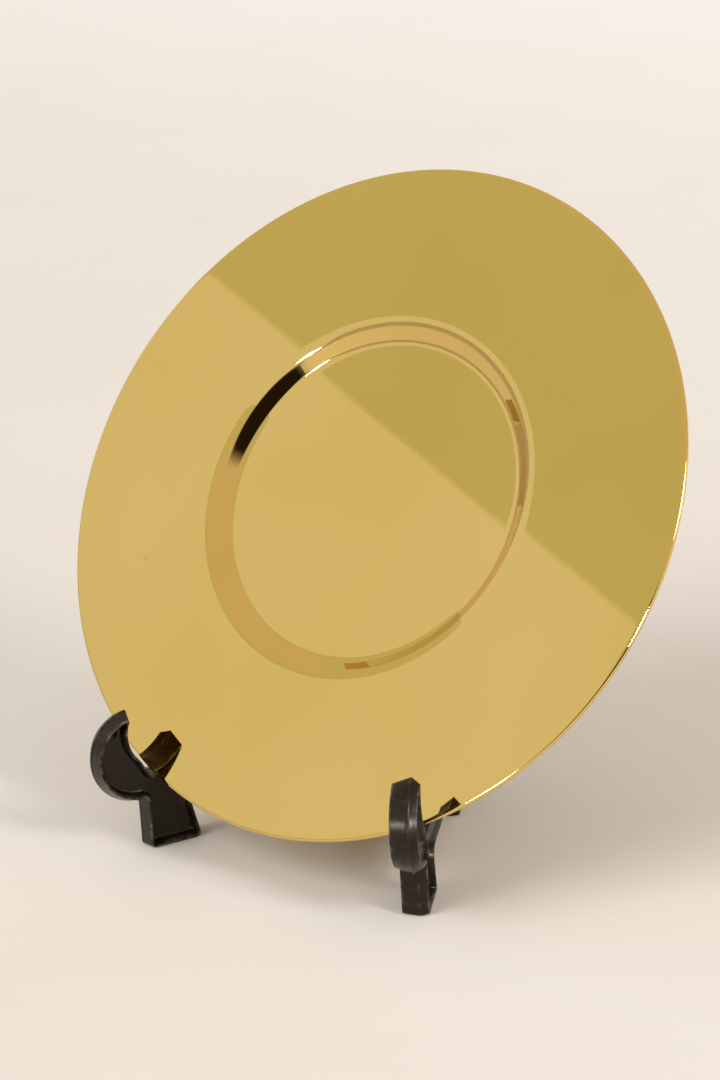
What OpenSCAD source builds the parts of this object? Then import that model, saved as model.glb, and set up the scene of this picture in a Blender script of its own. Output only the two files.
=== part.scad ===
/* [Paten] */
// Diameter of the paten
paten_d = 152; // [148:0.5:156]
// Thickness of the metal
paten_t = 1.3; // [1.1:0.1:1.5]
// Diameter of the flat floor of the well
well_flat_d = 70.6; // [68:0.1:72]
// Depth of the well below the brim
well_depth = 2.75; // [2.5:0.05:3]
// Radius of the shoulder where the brim turns down into the well
shoulder_r = 4.4; // [4:0.1:4.8]
// Radius of the fillet where the well's wall meets its floor
fillet_r = 2.6; // [2.4:0.1:3]
// Slope of the well's wall
wall_angle = 37; // [35:1:40]
// Lean of the paten from the vertical
lean = 35; // [34.8:0.1:35.2]
// Height of the paten's centre above the table
paten_height = 74.55; // [74.55:0.05:75.5]

/* [Stand] */
// Angle of each half of the stand from the centre plane
splay = 26.7; // [26.2:0.1:27]
// Thickness of each half, across its moulded edge
half_t = 5.8; // [5.6:0.1:6]
// Thickness of the rim round each half's pockets
rim_w = 1.1; // [0.9:0.1:1.3]
// Depth of the pockets in the inner face
inner_pocket = 2.5; // [2:0.1:2.6]
// Depth of the pockets in the outer face
outer_pocket = 1.6; // [1.2:0.1:1.7]
// Height of the flat top of the bar that the paten rests on
bar_top = 17.3; // [17:0.1:17.3]
// Height of the bar's underside
bar_bottom = 10.2; // [10:0.1:10.6]
// Radius of the crescent hook's outside
hook_r = 11; // [10.8:0.1:11.2]
// Radius of the crescent hook's hollow
hollow_r = 8.9; // [8.8:0.05:9.1]
// Height at which the hook's tip is cut flat
tip_height = 32.2; // [31.6:0.1:32.4]
// Length of the front foot on the table
foot_length = 13.1; // [12:0.1:13.5]
// Length of the rear foot on the table
rear_foot_length = 14.8; // [13:0.1:16]

/* [Hinge] */
// Radius of the hinge knuckles
knuckle_r = 3.2; // [3:0.1:3.4]
// Length of each hinge knuckle
knuckle_length = 10; // [9:0.5:10]
// Gap between neighbouring knuckles
knuckle_gap = 0.4; // [0.3:0.1:0.6]
// Radius of the steel hinge pin
pin_r = 1.2; // [1:0.1:1.4]
// Clearance between the pin and the knuckles' bores
pin_clearance = 0.05; // [0.04:0.01:0.08]

/* [Hidden] */
$fn = 96;

paten_r = paten_d / 2;
arc_steps = 8;

// Each half is drawn flat, x being the distance in front of the hinge axis and y the height.
hook_at = [74.5, 21.5];
hollow_at = [68.5, 27.3];
// The front of the throat is a straight flank between the bar and the hollow.
flank_foot = [72.7, bar_top];
flank_lean = 30.5;
flank_length = 4.5;
foot_front = 75;
foot_back = foot_front - foot_length;
neck_back = 64.3;
arch_fillet = 2.5;
neck_height = bar_bottom - arch_fillet;
post_front = 22.45;
post_back = 4.2;
rear_foot_front = 25.3;
rear_foot_back = rear_foot_front - rear_foot_length;
heel_height = 9;
post_corner_r = 3;
support_gap = 0.1;
// The bar runs on into the post, so that their pockets join.
bar_back = post_front - 2 * rim_w;
// How far the tool that cuts a pocket stands out of the face.
overrun = 1;

// The hinge axis stands behind the origin, where the two inner faces would meet.
inner_face_offset = 11.66;
axis_back = inner_face_offset / sin(splay);

// The post is as high as the back of the well allows, with the paten leaning on its top corner.
well_back = well_depth + paten_t;
corner_back = axis_back - post_front * cos(splay);
back_slope = cos(splay) / tan(lean);
back_rise = sqrt(1 + back_slope * back_slope);
touch_height = paten_height + (corner_back * cos(lean) - well_back) / sin(lean);
post_height = touch_height + post_corner_r * (1 + back_slope - back_rise) - support_gap * back_rise;

// Knuckles alternate up the axis: three on the right half and two on the left.
hinge_bottom = 12;
knuckle_pitch = knuckle_length + knuckle_gap;
knuckle_count = 5;
hinge_top = hinge_bottom + knuckle_count * knuckle_pitch - knuckle_gap;
bore_r = pin_r + pin_clearance;
head_r = 2.3;
head_tip_r = 1.4;
head_height = 1.2;
head_gap = 0.1;

// The origin is under the middle of the whole object's depth.
front_reach = (hook_at[0] + hook_r) * cos(splay) - axis_back;
back_reach = (paten_r - paten_t / 2) * sin(lean) + paten_t / 2 * (1 + cos(lean));
y_shift = (front_reach - back_reach) / 2;

module place() {
    translate([0, y_shift, 0]) children();
}

function arc(centre, r, from, to) =
    [for (i = [0 : arc_steps])
        let (a = from + (to - from) * i / arc_steps)
        centre + r * [cos(a), sin(a)]];

// Half section of the paten, with the brim's upper face at height 0.
module paten_section() {
    flat_r = well_flat_d / 2;
    wall_drop = well_depth - (fillet_r + shoulder_r) * (1 - cos(wall_angle));
    wall_run = wall_drop / tan(wall_angle);
    brim_r = flat_r + (fillet_r + shoulder_r) * sin(wall_angle) + wall_run;
    fillet_at = [flat_r, fillet_r - well_depth];
    shoulder_at = [brim_r, -shoulder_r];
    rim_at = [paten_r - paten_t / 2, -paten_t / 2];
    polygon(concat(
        [[0, -well_depth]],
        arc(fillet_at, fillet_r, -90, wall_angle - 90),
        arc(shoulder_at, shoulder_r, wall_angle + 90, 90),
        arc(rim_at, paten_t / 2, 90, -90),
        arc(shoulder_at, shoulder_r - paten_t, 90, wall_angle + 90),
        arc(fillet_at, fillet_r + paten_t, wall_angle - 90, -90),
        [[0, -well_depth - paten_t]]));
}

module paten() {
    color("goldenrod")
    place()
    translate([0, 0, paten_height])
    rotate([90 - lean, 0, 0])
    rotate_extrude($fn = 180)
    paten_section();
}

// Outline of the hook and front foot, drawn inwards by w.
module hook_and_foot(w) {
    inset_foot = flank_foot + w * [cos(flank_lean), -sin(flank_lean)];
    inset_top = inset_foot + flank_length * [sin(flank_lean), cos(flank_lean)];
    difference() {
        union() {
            translate(hook_at) circle(r = hook_r - w);
            polygon([
                [foot_front - w, w],
                [foot_front - w, bar_top - w],
                [neck_back + w, bar_top - w],
                [neck_back + w, neck_height],
                [foot_back + w, w]]);
        }
        translate(hollow_at) circle(r = hollow_r + w);
        polygon([
            [0, bar_top - w],
            [inset_foot[0], bar_top - w],
            inset_top,
            [0, inset_top[1]]]);
        translate([0, tip_height - w]) square([foot_front + hook_r, hook_r]);
    }
}

// Bar from the throat back to the post, with the fillet under it behind the front foot.
module bar(w) {
    translate([bar_back, bar_bottom + w])
        square([flank_foot[0] - w - bar_back, bar_top - bar_bottom - 2 * w]);
    difference() {
        translate([neck_back - arch_fillet + w, bar_bottom - arch_fillet + w])
            square(arch_fillet + rim_w);
        translate([neck_back - arch_fillet + w, bar_bottom - arch_fillet + w]) circle(r = arch_fillet);
    }
}

// Upright post, standing on the rear foot.
module post(w) {
    polygon([
        [rear_foot_front - w, w],
        [post_front - w, neck_height],
        [post_front - w, post_height - post_corner_r],
        [post_back + w, post_height - post_corner_r],
        [post_back + w, heel_height],
        [rear_foot_back + w, w]]);
    translate([post_back + post_corner_r, heel_height])
        square([post_front - post_back - 2 * post_corner_r, post_height - heel_height - w]);
    for (x = [post_back + post_corner_r, post_front - post_corner_r])
        translate([x, post_height - post_corner_r]) circle(r = post_corner_r - w);
}

module half_outline(w) {
    hook_and_foot(w);
    bar(w);
    post(w);
}

// One half lying in the plane of its outline: the inner face at height 0, the outer at half_t.
module half_plate() {
    difference() {
        linear_extrude(half_t) half_outline(0);
        translate([0, 0, -overrun]) linear_extrude(inner_pocket + overrun) half_outline(rim_w);
        translate([0, 0, half_t - outer_pocket]) linear_extrude(outer_pocket + overrun) half_outline(rim_w);
    }
}

// A knuckle and the leaf that joins it to the post; i counts up from the table.
module knuckle(i) {
    translate([0, hinge_bottom + i * knuckle_pitch, 0]) {
        rotate([-90, 0, 0]) cylinder(r = knuckle_r, h = knuckle_length);
        cube([post_back + rim_w, knuckle_length, knuckle_r]);
    }
}

module half(first_knuckle) {
    difference() {
        union() {
            half_plate();
            for (i = [first_knuckle : 2 : knuckle_count - 1]) knuckle(i);
        }
        rotate([-90, 0, 0]) cylinder(r = bore_r, h = post_height);
    }
}

// Stands the flat drawing up, its x pointing forwards from the hinge axis.
module right_frame() {
    color([0.09, 0.08, 0.075])
    place()
    translate([0, axis_back, 0])
    rotate([0, 0, splay - 90])
    rotate([90, 0, 0])
    mirror([0, 0, 1])
    half(0);
}

module left_frame() {
    color([0.09, 0.08, 0.075])
    place()
    mirror([1, 0, 0])
    translate([0, axis_back, 0])
    rotate([0, 0, splay - 90])
    rotate([90, 0, 0])
    mirror([0, 0, 1])
    half(1);
}

module hinge_pin() {
    pin_bottom = hinge_bottom - head_gap;
    pin_length = hinge_top - hinge_bottom + 2 * head_gap;
    color("silver")
    place()
    translate([0, axis_back, pin_bottom]) {
        cylinder(r = pin_r, h = pin_length);
        translate([0, 0, pin_length]) cylinder(r1 = head_r, r2 = head_tip_r, h = head_height);
        translate([0, 0, -head_height]) cylinder(r1 = head_tip_r, r2 = head_r, h = head_height);
    }
}

paten();
left_frame();
right_frame();
hinge_pin();
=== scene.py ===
import math

import bmesh
import bpy
from mathutils import Matrix, Vector


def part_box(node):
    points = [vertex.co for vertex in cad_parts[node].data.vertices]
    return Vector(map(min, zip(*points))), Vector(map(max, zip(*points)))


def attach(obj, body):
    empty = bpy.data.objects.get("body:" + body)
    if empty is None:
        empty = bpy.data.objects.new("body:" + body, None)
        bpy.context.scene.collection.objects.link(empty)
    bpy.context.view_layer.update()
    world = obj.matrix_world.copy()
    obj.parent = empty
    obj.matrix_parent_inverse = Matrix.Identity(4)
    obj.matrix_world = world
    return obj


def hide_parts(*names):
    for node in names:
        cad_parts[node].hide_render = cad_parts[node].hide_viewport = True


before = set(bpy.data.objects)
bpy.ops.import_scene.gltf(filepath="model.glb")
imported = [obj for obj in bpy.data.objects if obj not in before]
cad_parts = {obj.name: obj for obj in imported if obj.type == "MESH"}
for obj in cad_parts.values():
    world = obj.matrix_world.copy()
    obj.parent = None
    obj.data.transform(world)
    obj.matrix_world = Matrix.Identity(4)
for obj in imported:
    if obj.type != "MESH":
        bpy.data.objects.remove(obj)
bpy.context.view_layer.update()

MM = 0.001


# ---------------------------------------------------------------- sizes
# Millimetres, as in the design. Places in the room come from the CAD boxes.

# The paten's section: brim, shoulder, wall, fillet and floor of the well.
METAL = 1.3
FLOOR_R = 35.3
WELL_DEPTH = 2.75
SHOULDER_R = 4.4
FILLET_R = 2.6
WALL_ANGLE = math.radians(37)
FLOOR_BULGE = 0.07

# Each half of the stand is drawn in its own plane: (distance in front of the hinge, height).
SPLAY = math.radians(26.7)
HALF_T = 5.8
HOOK_AT, HOOK_R = (74.5, 21.5), 11.0
HOLLOW_AT, HOLLOW_R = (68.5, 27.3), 8.9
TIP_Z, TIP_FRONT, TIP_BACK = 32.2, 77.0, 75.9
FLANK_TOP, FLANK_FOOT = (75.0, 21.2), (72.7, 17.3)
BAR_TOP, BAR_BOTTOM = 17.3, 10.2
FOOT_FRONT, FOOT_BACK = 75.0, 61.9
NECK_BACK = 64.3
POST_FRONT, POST_BACK = 22.45, 4.2
HEEL_Z, REAR_FOOT_BACK, REAR_FOOT_FRONT = 9.0, 10.45, 25.3

# The moulding's draft: what the outline loses from the parting line to either face.
PARTING = 3.95
HOOK_FACE_AT, HOOK_FACE_R = (75.0, 21.9), 9.75
FRONT_DRAFT = 0.8
TIP_DRAFT = 1.1
SIDE_DRAFT = 0.3
SOLE_DRAFT = 0.2
BEAD = 0.06
RIM_W = 0.5
LIP_R = 0.18
POCKET_DRAFT = 0.22
POCKET_FILLET = 0.8
INNER_POCKET, OUTER_POCKET = 2.5, 1.6

# The hinge.
KNUCKLE_R = 3.2
KNUCKLE_LENGTH = 10.0
KNUCKLE_GAP = 0.4
BORE_R = 1.25
HINGE_BOTTOM = 12.0
KNUCKLE_COUNT = 5
KNUCKLE_CHAMFER = 0.35
LEAF_END = 4.9


def middle(node):
    low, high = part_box(node)
    return (low + high) / 2


def size(node):
    low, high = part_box(node)
    return high - low


paten_size = size("paten")
LEAN = math.atan2(paten_size.y - METAL * MM, paten_size.z - METAL * MM)
PATEN_R = paten_size.x / 2
FACING = Vector((0, -math.cos(LEAN), math.sin(LEAN)))
PATEN_AT = middle("paten") + FACING * METAL / 2 * MM
HINGE_AT = middle("hinge_pin")


# ---------------------------------------------------------------- camera
CAMERA_AZIMUTH = math.radians(36.77)
CAMERA_ELEVATION = math.radians(18.97)
CAMERA_ROLL = math.radians(-3.4)
CAMERA_DISTANCE = 0.65
CAMERA_AIM = PATEN_AT + Vector((-1.91, 0, -10.52)) * MM
TO_CAMERA = Vector((
    math.sin(CAMERA_AZIMUTH) * math.cos(CAMERA_ELEVATION),
    -math.cos(CAMERA_AZIMUTH) * math.cos(CAMERA_ELEVATION),
    math.sin(CAMERA_ELEVATION)))


def make_camera():
    level = Vector((math.cos(CAMERA_AZIMUTH), math.sin(CAMERA_AZIMUTH), 0))
    upright = TO_CAMERA.cross(level)
    right = math.cos(CAMERA_ROLL) * level + math.sin(CAMERA_ROLL) * upright
    up = math.cos(CAMERA_ROLL) * upright - math.sin(CAMERA_ROLL) * level
    turn = Matrix((right, up, TO_CAMERA)).transposed()
    data = bpy.data.cameras.new("camera")
    data.sensor_fit = "VERTICAL"
    data.sensor_height = 36
    data.lens = 100
    data.clip_start = 0.01
    data.clip_end = 20
    camera = bpy.data.objects.new("camera", data)
    camera.matrix_world = Matrix.Translation(CAMERA_AIM + TO_CAMERA * CAMERA_DISTANCE) @ turn.to_4x4()
    bpy.context.scene.collection.objects.link(camera)
    bpy.context.scene.camera = camera


# ---------------------------------------------------------------- materials
class Nodes:
    """A material's node tree, with short ways to add and join nodes."""

    def __init__(self, name):
        self.material = bpy.data.materials.new(name)
        self.material.use_nodes = True
        self.tree = self.material.node_tree
        self.shader = self.tree.nodes["Principled BSDF"]
        self.place = self.tree.nodes.new("ShaderNodeTexCoord").outputs["Object"]

    def join(self, value, socket):
        if isinstance(value, bpy.types.NodeSocket):
            self.tree.links.new(value, socket)
        else:
            socket.default_value = value

    def noise(self, scale, detail=4, roughness=0.6, stretch=(1, 1, 1)):
        mapping = self.tree.nodes.new("ShaderNodeMapping")
        mapping.inputs["Scale"].default_value = stretch
        self.join(self.place, mapping.inputs["Vector"])
        noise = self.tree.nodes.new("ShaderNodeTexNoise")
        self.join(mapping.outputs["Vector"], noise.inputs["Vector"])
        noise.inputs["Scale"].default_value = scale
        noise.inputs["Detail"].default_value = detail
        noise.inputs["Roughness"].default_value = roughness
        return noise.outputs["Fac"]

    def spots(self, scale, radius):
        """1 inside sparse round spots, one at most in each cell, fading to 0 outside."""
        cells = self.tree.nodes.new("ShaderNodeTexVoronoi")
        self.join(self.place, cells.inputs["Vector"])
        cells.inputs["Scale"].default_value = scale
        return self.span(cells.outputs["Distance"], radius, 0, 0, 1)

    def span(self, value, from_low, from_high, to_low, to_high):
        node = self.tree.nodes.new("ShaderNodeMapRange")
        node.interpolation_type = "SMOOTHSTEP"
        self.join(value, node.inputs["Value"])
        node.inputs["From Min"].default_value = from_low
        node.inputs["From Max"].default_value = from_high
        node.inputs["To Min"].default_value = to_low
        node.inputs["To Max"].default_value = to_high
        return node.outputs["Result"]

    def calculate(self, operation, a, b):
        node = self.tree.nodes.new("ShaderNodeMath")
        node.operation = operation
        self.join(a, node.inputs[0])
        self.join(b, node.inputs[1])
        return node.outputs[0]

    def mix(self, share, a, b):
        node = self.tree.nodes.new("ShaderNodeMix")
        node.data_type = "RGBA"
        self.join(share, node.inputs[0])
        self.join((*a, 1) if isinstance(a, tuple) else a, node.inputs[6])
        self.join((*b, 1) if isinstance(b, tuple) else b, node.inputs[7])
        return node.outputs[2]

    def attribute(self, name):
        node = self.tree.nodes.new("ShaderNodeAttribute")
        node.attribute_name = name
        return node.outputs["Fac"]

    def bump(self, height, distance, strength=1.0, below=None):
        node = self.tree.nodes.new("ShaderNodeBump")
        node.inputs["Distance"].default_value = distance
        node.inputs["Strength"].default_value = strength
        self.join(height, node.inputs["Height"])
        if below is not None:
            self.join(below, node.inputs["Normal"])
        return node.outputs["Normal"]

    def finish(self, color, roughness, normal, metallic=0.0):
        self.join(color, self.shader.inputs["Base Color"])
        self.join(roughness, self.shader.inputs["Roughness"])
        self.join(normal, self.shader.inputs["Normal"])
        self.shader.inputs["Metallic"].default_value = metallic
        return self.material


def gold():
    """Mirror-bright gilding: hardly any haze, a slow wander in colour, faint dust and polishing marks."""
    n = Nodes("gilt_brass")
    wander = n.noise(18, detail=2)
    color = n.mix(n.span(wander, 0.35, 0.65, 0, 1), (0.735, 0.52, 0.165), (0.755, 0.54, 0.18))
    dust = n.spots(34, 0.04)
    color = n.mix(n.calculate("MULTIPLY", dust, 0.28), color, (0.30, 0.20, 0.06))
    haze = n.span(n.noise(55, detail=5), 0.35, 0.75, 0.004, 0.014)
    roughness = n.calculate("ADD", haze, n.calculate("MULTIPLY", dust, 0.12))
    ripple = n.bump(n.noise(26, detail=1), 0.00002, 0.5)
    marks = n.bump(n.noise(900, detail=3, stretch=(1, 0.12, 1)), 0.000002, 0.25, ripple)
    return n.finish(color, roughness, marks, metallic=1.0)


def black_plastic():
    """Black moulded plastic with a soft sheen, finely grained, scuffed along its edges, and lightened along
    its lips and parting line by wear and painted edge highlights.
    """
    n = Nodes("black_plastic")
    n.shader.inputs["Specular Tint"].default_value = (1.0, 0.85, 0.72, 1)
    n.shader.inputs["Specular IOR Level"].default_value = 0.3
    # This attribute lightens the pocket lips and the parting line: partly real wear, partly painted edge
    # highlight.
    wear_and_highlight = n.attribute("wear_and_highlight")
    patches = n.span(n.noise(420, detail=6, roughness=0.7), 0.42, 0.66, 0, 1)
    scuff_and_highlight = n.calculate("MULTIPLY", wear_and_highlight, patches)
    cloud = n.noise(160, detail=5)
    color = n.mix(n.span(cloud, 0.3, 0.7, 0, 1), (0.0052, 0.0038, 0.0026), (0.0085, 0.0064, 0.0045))
    flecks = n.spots(700, 0.16)
    color = n.mix(n.calculate("MULTIPLY", flecks, 0.3), color, (0.045, 0.038, 0.031))
    # Lighter brown along the edges: real scuffs mixed with painted highlights on the lips and the parting
    # bead.
    color = n.mix(n.calculate("MULTIPLY", scuff_and_highlight, 0.7), color, (0.15, 0.125, 0.10))
    roughness = n.span(n.noise(240, detail=6), 0.3, 0.7, 0.22, 0.30)
    roughness = n.calculate("ADD", roughness, n.calculate("MULTIPLY", scuff_and_highlight, 0.12))
    grain = n.bump(n.noise(2600, detail=4), 0.00003, 0.55)
    dents = n.bump(n.noise(380, detail=3), 0.00005, 0.45, grain)
    return n.finish(color, roughness, dents)


def steel():
    """Drawn steel wire, with lengthwise marks."""
    n = Nodes("steel")
    drawn = n.noise(2400, detail=4, stretch=(1, 1, 0.03))
    color = n.mix(drawn, (0.42, 0.41, 0.40), (0.60, 0.59, 0.57))
    roughness = n.span(drawn, 0.3, 0.7, 0.22, 0.42)
    return n.finish(color, roughness, n.bump(drawn, 0.00001, 0.6), metallic=1.0)


def stage_paper_with_painted_shade():
    """Pale, matt, faintly mottled paper with painted light and shade: lighter towards the back and darker up
    the wall.
    """
    n = Nodes("stage_paper_with_painted_shade")
    fibre = n.noise(9, detail=6)
    near = n.mix(n.span(fibre, 0.3, 0.7, 0, 1), (0.69, 0.635, 0.575), (0.71, 0.655, 0.595))
    split = n.tree.nodes.new("ShaderNodeSeparateXYZ")
    n.join(n.place, split.inputs[0])
    # Painted light: the floor's paper is darker in front and lighter towards the back.
    floor = n.mix(n.span(split.outputs["Y"], 0.1, 1.8, 0, 1), near, (0.93, 0.90, 0.87))
    # Painted shade: the paper darkens up the wall.
    color = n.mix(n.span(split.outputs["Z"], 0.0, 0.4, 0, 1), floor, (0.70, 0.68, 0.66))
    return n.finish(color, 0.85, n.bump(n.noise(60, detail=6), 0.0006, 0.3))


# ---------------------------------------------------------------- meshes
def add_piece(name, bm, material, body=None, sharp=math.radians(38)):
    """Turns a bmesh in millimetres, in the room's frame, into a smooth-shaded object."""
    bmesh.ops.recalc_face_normals(bm, faces=bm.faces)
    bmesh.ops.scale(bm, vec=(MM, MM, MM), verts=bm.verts)
    for face in bm.faces:
        face.smooth = True
    for edge in bm.edges:
        edge.smooth = len(edge.link_faces) == 2 and edge.calc_face_angle() < sharp
    mesh = bpy.data.meshes.new(name)
    bm.to_mesh(mesh)
    bm.free()
    mesh.materials.append(material)
    piece = bpy.data.objects.new(name, mesh)
    bpy.context.scene.collection.objects.link(piece)
    if body:
        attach(piece, body)
    return piece


def bridge(bm, a, b):
    """Quads between two closed loops of the same length."""
    for i in range(len(a)):
        j = (i + 1) % len(a)
        bm.faces.new((a[i], a[j], b[j], b[i]))


def lathe(bm, profile, segments, place):
    """Turns a profile of (radius, height) about an axis; it starts and ends on the axis."""
    rings = []
    for r, h in profile[1:-1]:
        turns = [2 * math.pi * i / segments for i in range(segments)]
        rings.append([bm.verts.new(place(r * math.cos(a), r * math.sin(a), h)) for a in turns])
    for low, high in zip(rings, rings[1:]):
        bridge(bm, low, high)
    for (_, h), ring in ((profile[0], rings[0]), (profile[-1], rings[-1])):
        tip = bm.verts.new(place(0, 0, h))
        for i in range(segments):
            bm.faces.new((ring[i], ring[(i + 1) % segments], tip))


def sweep(centre, r, start, end, steps):
    """Points along a circular arc, both ends included; angles in radians."""
    angles = [start + (end - start) * i / steps for i in range(steps + 1)]
    return [(centre[0] + r * math.cos(a), centre[1] + r * math.sin(a)) for a in angles]


# ---------------------------------------------------------------- the paten
SUPPORT = 0.25


def paten_profile():
    """Half section: up the top face from the middle, round the rim, and back underneath."""
    edge_r = PATEN_R / MM - METAL / 2
    bend = FILLET_R + SHOULDER_R
    wall_drop = WELL_DEPTH - bend * (1 - math.cos(WALL_ANGLE))
    brim_r = FLOOR_R + bend * math.sin(WALL_ANGLE) + wall_drop / math.tan(WALL_ANGLE)
    fillet_at = (FLOOR_R, FILLET_R - WELL_DEPTH)
    shoulder_at = (brim_r, -SHOULDER_R)
    down, up = -math.pi / 2, math.pi / 2
    floor, under = -WELL_DEPTH, -WELL_DEPTH - METAL
    rises = [(FLOOR_R - SUPPORT) * i / 12 for i in range(13)]
    top = [(r, floor + FLOOR_BULGE * (1 - (r / FLOOR_R) ** 2)) for r in rises]
    top += sweep(fillet_at, FILLET_R, down, down + WALL_ANGLE, 16)
    top += sweep(shoulder_at, SHOULDER_R, up + WALL_ANGLE, up, 16)
    top += [(brim_r + SUPPORT, 0), ((brim_r + edge_r) / 2, 0), (edge_r - SUPPORT, 0)]
    rim = sweep((edge_r, -METAL / 2), METAL / 2, up, down, 14)
    back = [(edge_r - SUPPORT, -METAL), ((brim_r + edge_r) / 2, -METAL), (brim_r + SUPPORT, -METAL)]
    back += sweep(shoulder_at, SHOULDER_R - METAL, up, up + WALL_ANGLE, 10)
    back += sweep(fillet_at, FILLET_R + METAL, down + WALL_ANGLE, down, 16)
    back += [(FLOOR_R - SUPPORT, under), (FLOOR_R / 2, under), (0, under)]
    return top + rim + back


def make_paten(material):
    across = Vector((1, 0, 0))
    up = FACING.cross(across)

    def place(x, y, h):
        return PATEN_AT / MM + across * x + up * y + FACING * h

    bm = bmesh.new()
    lathe(bm, paten_profile(), 288, place)
    piece = add_piece("paten_plate", bm, material, "paten", sharp=math.radians(60))
    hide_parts("paten")


# ---------------------------------------------------------------- outlines
# An outline is a ring of edges walked with the material on the left. Each edge holds the
# radius of the corner at its end, and that corner's rough place.
def line(start, end, corner, steps):
    start, end = Vector(start), Vector(end)
    return {"at": start, "way": (end - start).normalized(), "end": end, "corner": corner, "steps": steps}


def arc(centre, r, turn, end, corner, steps):
    """turn is 1 where the material is inside the circle and -1 where it is outside."""
    return {"at": Vector(centre), "r": r, "turn": turn, "end": Vector(end), "corner": corner, "steps": steps}


def inset(edge, w):
    """The edge moved into the material by w."""
    moved = dict(edge)
    if "r" in edge:
        moved["r"] = edge["r"] - edge["turn"] * w
    else:
        moved["at"] = edge["at"] + Vector((-edge["way"].y, edge["way"].x)) * w
    return moved


def meet(a, b, near):
    """Where two edges cross, at the crossing nearest to a point."""
    if "r" in a and "r" in b:
        apart = b["at"] - a["at"]
        along = (a["r"] ** 2 - b["r"] ** 2 + apart.length_squared) / (2 * apart.length)
        aside = math.sqrt(max(a["r"] ** 2 - along ** 2, 0))
        way = apart.normalized()
        foot = a["at"] + way * along
        side = Vector((-way.y, way.x)) * aside
        return min((foot + side, foot - side), key=lambda p: (p - near).length)
    if "r" in a or "r" in b:
        circle, straight = (a, b) if "r" in a else (b, a)
        foot = reach(straight, circle["at"])
        half = math.sqrt(max(circle["r"] ** 2 - (foot - circle["at"]).length_squared, 0))
        step = straight["way"] * half
        return min((foot + step, foot - step), key=lambda p: (p - near).length)
    share = (b["at"] - a["at"]).cross(b["way"]) / a["way"].cross(b["way"])
    return a["at"] + a["way"] * share


def reach(edge, point):
    """The point of an edge that is nearest to a point."""
    if "r" in edge:
        return edge["at"] + (point - edge["at"]).normalized() * edge["r"]
    return edge["at"] + edge["way"] * (point - edge["at"]).dot(edge["way"])


def heading(edge, point):
    """The direction of travel along an edge at a point."""
    if "r" in edge:
        out = (point - edge["at"]).normalized()
        return Vector((-out.y, out.x)) * edge["turn"]
    return edge["way"]


CORNER_STEPS = 7
LEAST_CORNER = 0.04


def outline(edges, w):
    """The points of a ring of edges moved into the material by w, with its corners rounded."""
    edges = [inset(e, w) for e in edges]
    corners = []
    for a, b in zip(edges, edges[1:] + edges[:1]):
        sharp = meet(a, b, a["end"])
        side = 1 if heading(a, sharp).cross(heading(b, sharp)) > 0 else -1
        r = max(a["corner"] - side * w, LEAST_CORNER)
        centre = meet(inset(a, side * r), inset(b, side * r), sharp)
        corners.append((reach(a, centre), centre, reach(b, centre)))
    points = []
    for i, edge in enumerate(edges):
        first, last = corners[i - 1][2], corners[i][0]
        points += stretch(edge, first, last)
        points += bend(corners[i])
    return points


def stretch(edge, first, last):
    """Points along one edge, both ends included."""
    steps = edge["steps"]
    if "r" not in edge:
        return [first.lerp(last, i / steps) for i in range(steps + 1)]
    start = math.atan2(*reversed(first - edge["at"]))
    turned = (math.atan2(*reversed(last - edge["at"])) - start) * edge["turn"] % (2 * math.pi)
    return [Vector(p) for p in sweep(edge["at"], edge["r"], start, start + turned * edge["turn"], steps)]


def bend(corner):
    """Points inside one rounded corner, its ends left out."""
    first, centre, last = corner
    start = math.atan2(*reversed(first - centre))
    turned = (math.atan2(*reversed(last - centre)) - start + math.pi) % (2 * math.pi) - math.pi
    arc_points = sweep(centre, (first - centre).length, start, start + turned, CORNER_STEPS)
    return [Vector(p) for p in arc_points[1:-1]]


# ---------------------------------------------------------------- the stand
post_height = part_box("right_frame")[1].z / MM


def mixed(a, b, share):
    return a + (b - a) * share


def half_edges(draft):
    """One half's outline: draft is 0 at the parting line and 1 at either face."""
    hook_at = Vector(HOOK_AT).lerp(Vector(HOOK_FACE_AT), draft)
    hook_r = mixed(HOOK_R, HOOK_FACE_R, draft)
    side = SIDE_DRAFT * draft
    sole = SOLE_DRAFT * draft
    front = FOOT_FRONT - FRONT_DRAFT * draft
    tip = TIP_Z - TIP_DRAFT * draft
    post_front, post_back, top = POST_FRONT - side, POST_BACK + side, post_height - side
    bar_top, bar_bottom = BAR_TOP - side, BAR_BOTTOM + side
    heel, neck = REAR_FOOT_BACK + side, NECK_BACK + side
    flank_top = Vector(FLANK_TOP) + Vector((side, 0))
    flank_foot = Vector(FLANK_FOOT) + Vector((side, -side))
    return [
        line((heel, sole), (REAR_FOOT_FRONT - side, sole), 0.5, 4),
        line((REAR_FOOT_FRONT - side, sole), (post_front, bar_bottom), 2.5, 4),
        line((post_front, bar_bottom), (neck, bar_bottom), 2.5, 14),
        line((neck, bar_bottom), (FOOT_BACK + side, sole), 1.0, 6),
        line((FOOT_BACK + side, sole), (front, sole), 0.7, 5),
        line((front, sole), (front, hook_at.y - hook_r), 0.6, 5),
        arc(hook_at, hook_r, 1, (TIP_FRONT, tip), 1.3, 60),
        line((TIP_FRONT, tip), (TIP_BACK, tip), 0.4, 2),
        arc(HOLLOW_AT, HOLLOW_R + side, -1, flank_top, 3.0, 22),
        line(flank_top, flank_foot, 0.3, 3),
        line(flank_foot, (post_front, bar_top), 1.2, 14),
        line((post_front, bar_top), (post_front, top), 3.0, 16),
        line((post_front, top), (post_back, top), 3.0, 5),
        line((post_back, top), (post_back, HEEL_Z), 1.5, 16),
        line((post_back, HEEL_Z), (heel, sole), 0.8, 3)]


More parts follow.
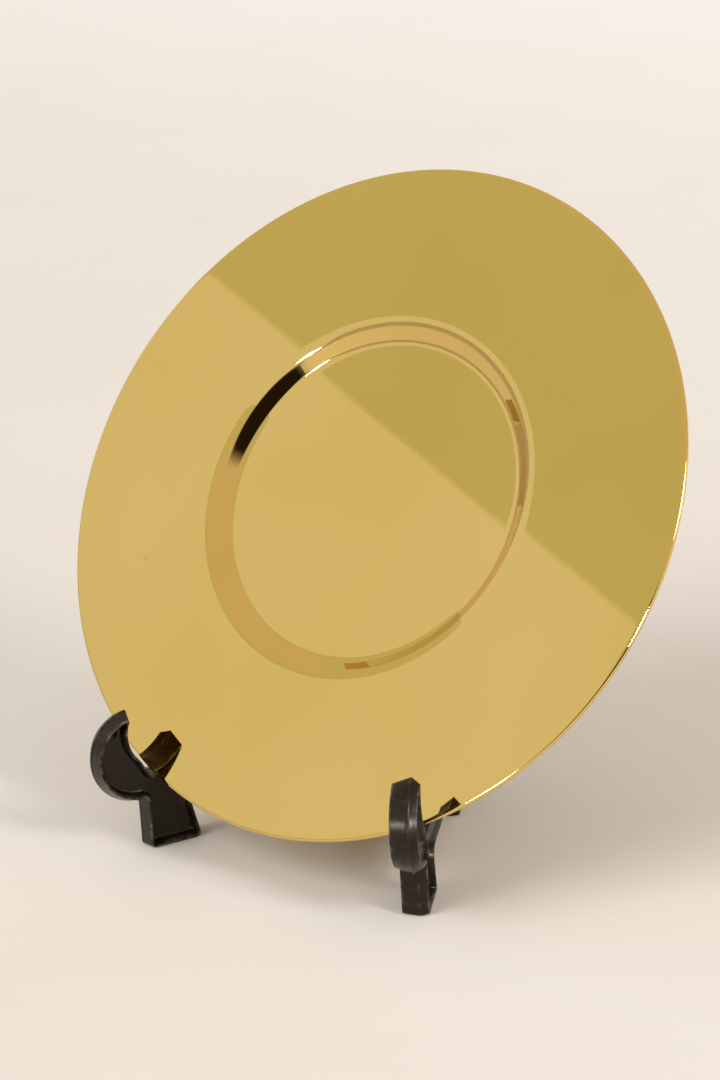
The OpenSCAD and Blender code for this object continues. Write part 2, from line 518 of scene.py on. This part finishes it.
def face_levels(face, into, pocket):
    """From the middle of a pocket's floor, up its wall, over the rim and down to the drafted edge.

    Each level is (place across the thickness, draft, inset, lightening by wear and painted highlight,
    strongest on the lips). into is 1 for the inner face, whose place is 0, and -1 for the outer one."""
    floor = face + into * pocket
    foot_w = RIM_W + POCKET_DRAFT
    levels = [(floor, 1, foot_w + 2.2 * POCKET_FILLET, 0)]
    for x, z in sweep((POCKET_FILLET, POCKET_FILLET), POCKET_FILLET, -math.pi / 2, -math.pi, 4):
        levels.append((floor - into * z, 1, foot_w + x, 0))
    for x, z in sweep((RIM_W - LIP_R, LIP_R), LIP_R, 0, -math.pi / 2, 4):
        levels.append((face + into * z, 1, x, 0.7))
    for x, z in sweep((LIP_R, LIP_R), LIP_R, -math.pi / 2, -math.pi, 4):
        levels.append((face + into * z, 1, x, 1.0))
    return levels


def edge_levels():
    """Down the drafted edge from either face's lip to the parting line, which is a fine bead."""
    # The last number of each level lightens the plastic: wear and painted highlight, strongest on the
    # parting line's bead.
    inner_wear_and_highlight = ((0.1, 0.15), (0.35, 0.05), (0.7, 0.05))
    outer_wear_and_highlight = ((0.3, 0.05), (0.65, 0.05), (0.9, 0.15))
    inner = [(mixed(LIP_R, PARTING, s), 1 - s, 0, wear_and_highlight) for s, wear_and_highlight in inner_wear_and_highlight]
    bead = [
        (PARTING - 2 * BEAD, 0.02, BEAD, 0.2),
        (PARTING, 0, 0, 0.8),
        (PARTING + 2 * BEAD, 0.05, BEAD, 0.2)]
    outer = [(mixed(PARTING, HALF_T - LIP_R, s), s, 0, wear_and_highlight) for s, wear_and_highlight in outer_wear_and_highlight]
    return inner + bead + outer


def make_half(side, first_knuckle, material):
    """side is 1 for the right half and -1 for the left, which is its mirror image."""
    ahead = Vector((side * math.sin(SPLAY), -math.cos(SPLAY), 0))
    outward = Vector((side * math.cos(SPLAY), math.sin(SPLAY), 0))
    axis = Vector((HINGE_AT.x / MM, HINGE_AT.y / MM, 0))

    def place(f, z, out):
        return axis + ahead * f + outward * out + Vector((0, 0, z))

    bm = bmesh.new()
    # Per-vertex lightening of the plastic: real wear along the edges, partly painted highlight.
    wear_and_highlight_layer = bm.verts.layers.float.new("wear_and_highlight")
    levels = face_levels(0, 1, INNER_POCKET) + edge_levels() + face_levels(HALF_T, -1, OUTER_POCKET)[::-1]
    loops = []
    for out, draft, w, wear_and_highlight in levels:
        loop = [bm.verts.new(place(p.x, p.y, out)) for p in outline(half_edges(draft), w)]
        for v in loop:
            v[wear_and_highlight_layer] = wear_and_highlight
        loops.append(loop)
    for a, b in zip(loops, loops[1:]):
        bridge(bm, a, b)
    bm.faces.new(loops[0])
    bm.faces.new(loops[-1])
    for i in range(first_knuckle, KNUCKLE_COUNT, 2):
        add_knuckle(bm, place, HINGE_BOTTOM + i * (KNUCKLE_LENGTH + KNUCKLE_GAP))
    name = "right" if side == 1 else "left"
    piece = add_piece(name + "_stand_half", bm, material, name + "_half")
    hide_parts(name + "_frame")


def knuckle_radius(angle, shrink):
    """How far the knuckle and its leaf reach from the hinge axis in a direction."""
    barrel = KNUCKLE_R - shrink
    if 0 < angle < math.pi / 2:
        return min((LEAF_END - shrink) / math.cos(angle), barrel / math.sin(angle))
    return barrel


def add_knuckle(bm, place, bottom):
    """A hinge knuckle with chamfered ends, its leaf running into the post."""
    turns = [2 * math.pi * i / 72 for i in range(72)]
    top = bottom + KNUCKLE_LENGTH
    c = KNUCKLE_CHAMFER
    rings = [
        [(BORE_R, a, bottom) for a in turns],
        [(knuckle_radius(a, c), a, bottom) for a in turns],
        [(knuckle_radius(a, 0), a, bottom + c) for a in turns],
        [(knuckle_radius(a, 0), a, top - c) for a in turns],
        [(knuckle_radius(a, c), a, top) for a in turns],
        [(BORE_R, a, top) for a in turns]]
    made = [[bm.verts.new(place(r * math.cos(a), z, r * math.sin(a))) for r, a, z in ring] for ring in rings]
    for a, b in zip(made, made[1:] + made[:1]):
        bridge(bm, a, b)


# ---------------------------------------------------------------- the hinge pin
PIN_R = 1.2
HEAD_R = 2.3
HEAD_HEIGHT = 1.2
DOME = 0.8
COLLAR = 0.15


def make_pin(material):
    """A pin with a domed head at each end."""
    low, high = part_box("hinge_pin")
    bottom, top = low.z / MM, high.z / MM
    dome = sweep((0, 0), 1, -math.pi / 2, 0, 8)
    head_top = bottom + HEAD_HEIGHT
    profile = [(HEAD_R * x, bottom + HEAD_HEIGHT * (1 + DOME * y)) for x, y in dome]
    profile += [(PIN_R + COLLAR, head_top), (PIN_R, head_top)]
    mirrored = [(r, bottom + top - z) for r, z in reversed(profile)]
    axis = Vector((HINGE_AT.x, HINGE_AT.y, 0)) / MM
    bm = bmesh.new()
    lathe(bm, profile + mirrored, 40, lambda x, y, h: axis + Vector((x, y, h)))
    piece = add_piece("hinge_pin_steel", bm, material, "hinge")
    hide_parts("hinge_pin")


# ---------------------------------------------------------------- stage and light
# How far the floor lies below the feet, in metres, so that their faces don't coincide.
BELOW_FEET = -0.00002

# Cosines of the angles from the camera at which the wall has sunk to the floor and is whole.
WALL_GONE, WALL_FULL = 0.85, 0.6


def wall_share(angle):
    """How high the wall stands at an angle round the stage: 0 in front of the camera, 1 elsewhere."""
    towards_camera = math.cos(angle - CAMERA_AZIMUTH + math.pi / 2)
    return min(max((WALL_GONE - towards_camera) / (WALL_GONE - WALL_FULL), 0), 1)


def make_stage():
    """A wide pale floor that sweeps up into a low wall, open where the camera stands."""
    floor_r, sweep_r, wall_top = 2400, 600, 900
    profile = [(300, 0), (900, 0)]
    profile += sweep((floor_r, sweep_r), sweep_r, -math.pi / 2, 0, 16)
    profile += [(floor_r + sweep_r, wall_top)]
    bm = bmesh.new()
    segments = 96
    rings = []
    turns = [2 * math.pi * i / segments for i in range(segments)]
    for r, h in profile:
        places = [(r * math.cos(a), r * math.sin(a), h * wall_share(a)) for a in turns]
        rings.append([bm.verts.new(place) for place in places])
    for low, high in zip(rings, rings[1:]):
        bridge(bm, low, high)
    bm.faces.new(rings[0])
    floor = add_piece("stage_floor", bm, stage_paper_with_painted_shade())
    floor.location.z = BELOW_FEET


def add_light(name, direction, distance, width, height, power, color):
    data = bpy.data.lights.new(name, "AREA")
    data.shape = "RECTANGLE"
    data.size = width
    data.size_y = height
    data.energy = power
    data.color = color
    light = bpy.data.objects.new(name, data)
    way = Vector(direction).normalized()
    light.location = way * distance
    light.rotation_euler = way.to_track_quat("Z", "Y").to_euler()
    bpy.context.scene.collection.objects.link(light)
    return light


def make_sun(direction, angle, power):
    """Even soft light over the whole floor, kept out of reflections."""
    data = bpy.data.lights.new("soft_sun", "SUN")
    data.angle = angle
    data.energy = power
    sun = bpy.data.objects.new("soft_sun", data)
    sun.rotation_euler = Vector(direction).to_track_quat("Z", "Y").to_euler()
    sun.visible_glossy = False
    bpy.context.scene.collection.objects.link(sun)


def make_world():
    """Soft light all round: a warm side and a greener side that meet in a straight line, a tan
    ceiling and a dark part round the camera. The floor is lit by a neutral colour instead."""
    world = bpy.data.worlds.new("room")
    world.use_nodes = True
    bpy.context.scene.world = world
    tree = world.node_tree
    way = tree.nodes.new("ShaderNodeTexCoord").outputs["Generated"]

    def towards(direction):
        node = tree.nodes.new("ShaderNodeVectorMath")
        node.operation = "DOT_PRODUCT"
        tree.links.new(way, node.inputs[0])
        node.inputs[1].default_value = direction
        return node.outputs["Value"]

    def mixed_by(value, low, high, a, b):
        span = tree.nodes.new("ShaderNodeMapRange")
        span.interpolation_type = "SMOOTHSTEP"
        tree.links.new(value, span.inputs["Value"])
        span.inputs["From Min"].default_value = low
        span.inputs["From Max"].default_value = high
        mix = tree.nodes.new("ShaderNodeMix")
        mix.data_type = "RGBA"
        tree.links.new(span.outputs["Result"], mix.inputs[0])
        for color, socket in ((a, mix.inputs[6]), (b, mix.inputs[7])):
            if isinstance(color, tuple):
                socket.default_value = (*color, 1)
            else:
                tree.links.new(color, socket)
        return mix.outputs[2]

    halves = mixed_by(towards(DIVIDE), -DIVIDE_BLUR, DIVIDE_BLUR, WARM_SIDE, GREEN_SIDE)
    walls = mixed_by(towards(CEILING_WAY), CEILING_FROM, CEILING_TO, halves, CEILING)
    room = mixed_by(towards(DARK_WAY), DARK_FROM, DARK_TO, walls, DARK_ROOM)
    diffuse = tree.nodes.new("ShaderNodeLightPath").outputs["Is Diffuse Ray"]
    lit = mixed_by(diffuse, 0, 1, room, FILL)
    tree.links.new(lit, tree.nodes["Background"].inputs["Color"])
    tree.nodes["Background"].inputs["Strength"].default_value = 1.0


def seen_in_paten(x, y):
    """The direction that the camera sees mirrored at a place on the brim, in mm from its middle."""
    spot = PATEN_AT + (Vector((1, 0, 0)) * x + FACING.cross(Vector((1, 0, 0))) * y) * MM
    ray = (spot - CAMERA_AIM - TO_CAMERA * CAMERA_DISTANCE).normalized()
    return ray.reflect(FACING)


# The two sides of the room meet along a line that crosses the paten as the camera sees it.
DIVIDE_FROM, DIVIDE_TO = (-58.3, 44.5), (70.5, -15.5)
DIVIDE = seen_in_paten(*DIVIDE_FROM).cross(seen_in_paten(*DIVIDE_TO)).normalized()
DIVIDE_BLUR = 0.0015
WARM_SIDE = (0.877, 0.851, 0.78)
GREEN_SIDE = (0.687, 0.683, 0.484)
FILL = (0.68, 0.66, 0.64)

# The ceiling and the dark part each fade in between two angles from their middle.
CEILING = (0.776, 0.664, 0.53)
CEILING_WAY = Vector((0.3, 0.1, 0.95)).normalized()
CEILING_FROM, CEILING_TO = math.cos(math.radians(62)), math.cos(math.radians(52))
DARK_ROOM = (0.02, 0.012, 0.006)
DARK_WAY = Vector((0.58, -0.80, 0.12)).normalized()
DARK_FROM, DARK_TO = math.cos(math.radians(30)), math.cos(math.radians(21))

bpy.context.scene.view_settings.view_transform = "Standard"
make_camera()
make_world()
make_stage()
add_light("right_light", (0.83, -0.09, 0.54), 3.0, 0.75, 0.75, 36, (1.0, 0.97, 0.93))
# Two small windows beside the camera give the glints; they don't light the floor.
right_window = add_light("right_window", (0.8, -0.58, 0.28), 2.2, 0.22, 0.33, 26, (1.0, 0.98, 0.95))
front_window = add_light("front_window", (-0.02, -0.99, 0.2), 2.2, 0.22, 0.3, 9, (1.0, 0.98, 0.95))
right_window.visible_diffuse = False
front_window.visible_diffuse = False
make_sun((-0.32, -0.74, 0.58), math.radians(40), 1.85)
make_paten(gold())
plastic = black_plastic()
make_half(1, 0, plastic)
make_half(-1, 1, plastic)
make_pin(steel())
